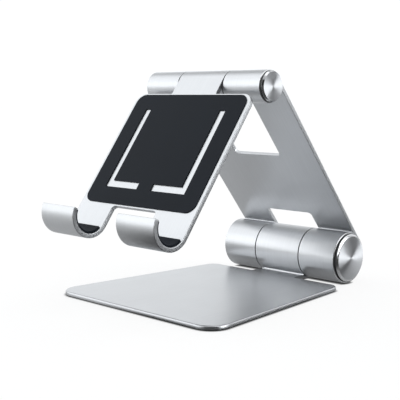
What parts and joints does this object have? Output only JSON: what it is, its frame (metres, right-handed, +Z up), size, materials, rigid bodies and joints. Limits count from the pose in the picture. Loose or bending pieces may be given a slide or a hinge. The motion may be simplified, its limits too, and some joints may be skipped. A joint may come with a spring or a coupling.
{
  "type": "tablet stand",
  "caption": "Folding desk stand for a tablet: tapered base plate, leaning arm and tilting padded holder with two hooks, joined by barrel friction hinges.",
  "frame": {"origin": "middle of the underside of the foot pad, on the desk", "axes": "+X along the hinge pins to the right-hand end, +Y to the back of the stand, where the arm rises, +Z up"},
  "size_m": [0.108, 0.157, 0.113],
  "materials": {
    "satin_aluminium": "bead-blasted, clear anodised, satin",
    "turned_aluminium": "fine concentric turning marks, clear anodised",
    "black_silicone": "matt, very slightly blue black",
    "black_plastic": "matt moulded",
    "hinge_steel": "plain machined"
  },
  "bodies": {
    "base": {"base_plate": "satin_aluminium", "base_foot_pad": "black_silicone", "lower_hinge_pin": "hinge_steel", "lower_friction_washer_left": "hinge_steel", "lower_friction_washer_right": "hinge_steel", "lower_disc_springs_left": "hinge_steel", "lower_disc_springs_right": "hinge_steel", "lower_lock_nut_left": "hinge_steel", "lower_lock_nut_right": "hinge_steel"},
    "arm": {"arm": "satin_aluminium", "lower_bush_left": "black_plastic", "lower_bush_right": "black_plastic", "lower_end_ring": "black_plastic", "lower_end_cap": "turned_aluminium", "lower_end_plug": "turned_aluminium", "upper_bush_left": "black_plastic", "upper_bush_right": "black_plastic", "upper_end_ring": "black_plastic", "upper_end_cap": "turned_aluminium", "upper_end_plug": "turned_aluminium"},
    "holder": {"holder": "satin_aluminium", "holder_pad": "black_silicone", "hook_liner_left": "black_silicone", "hook_liner_right": "black_silicone", "upper_hinge_pin": "hinge_steel", "upper_friction_washer_left": "hinge_steel", "upper_friction_washer_right": "hinge_steel", "upper_disc_springs_left": "hinge_steel", "upper_disc_springs_right": "hinge_steel", "upper_lock_nut_left": "hinge_steel", "upper_lock_nut_right": "hinge_steel"}
  },
  "joints": [
    {"name": "arm_hinge", "type": "hinge", "parent": "base", "child": "arm", "pos_m": [0, 0.0701, 0.0141], "axis": [-1, 0, 0], "range_deg": [-13, 70]},
    {"name": "holder_hinge", "type": "hinge", "parent": "arm", "child": "holder", "pos_m": [0, 0.00277, 0.1051], "axis": [-1, 0, 0], "range_deg": [-80, 110]}
  ]
}
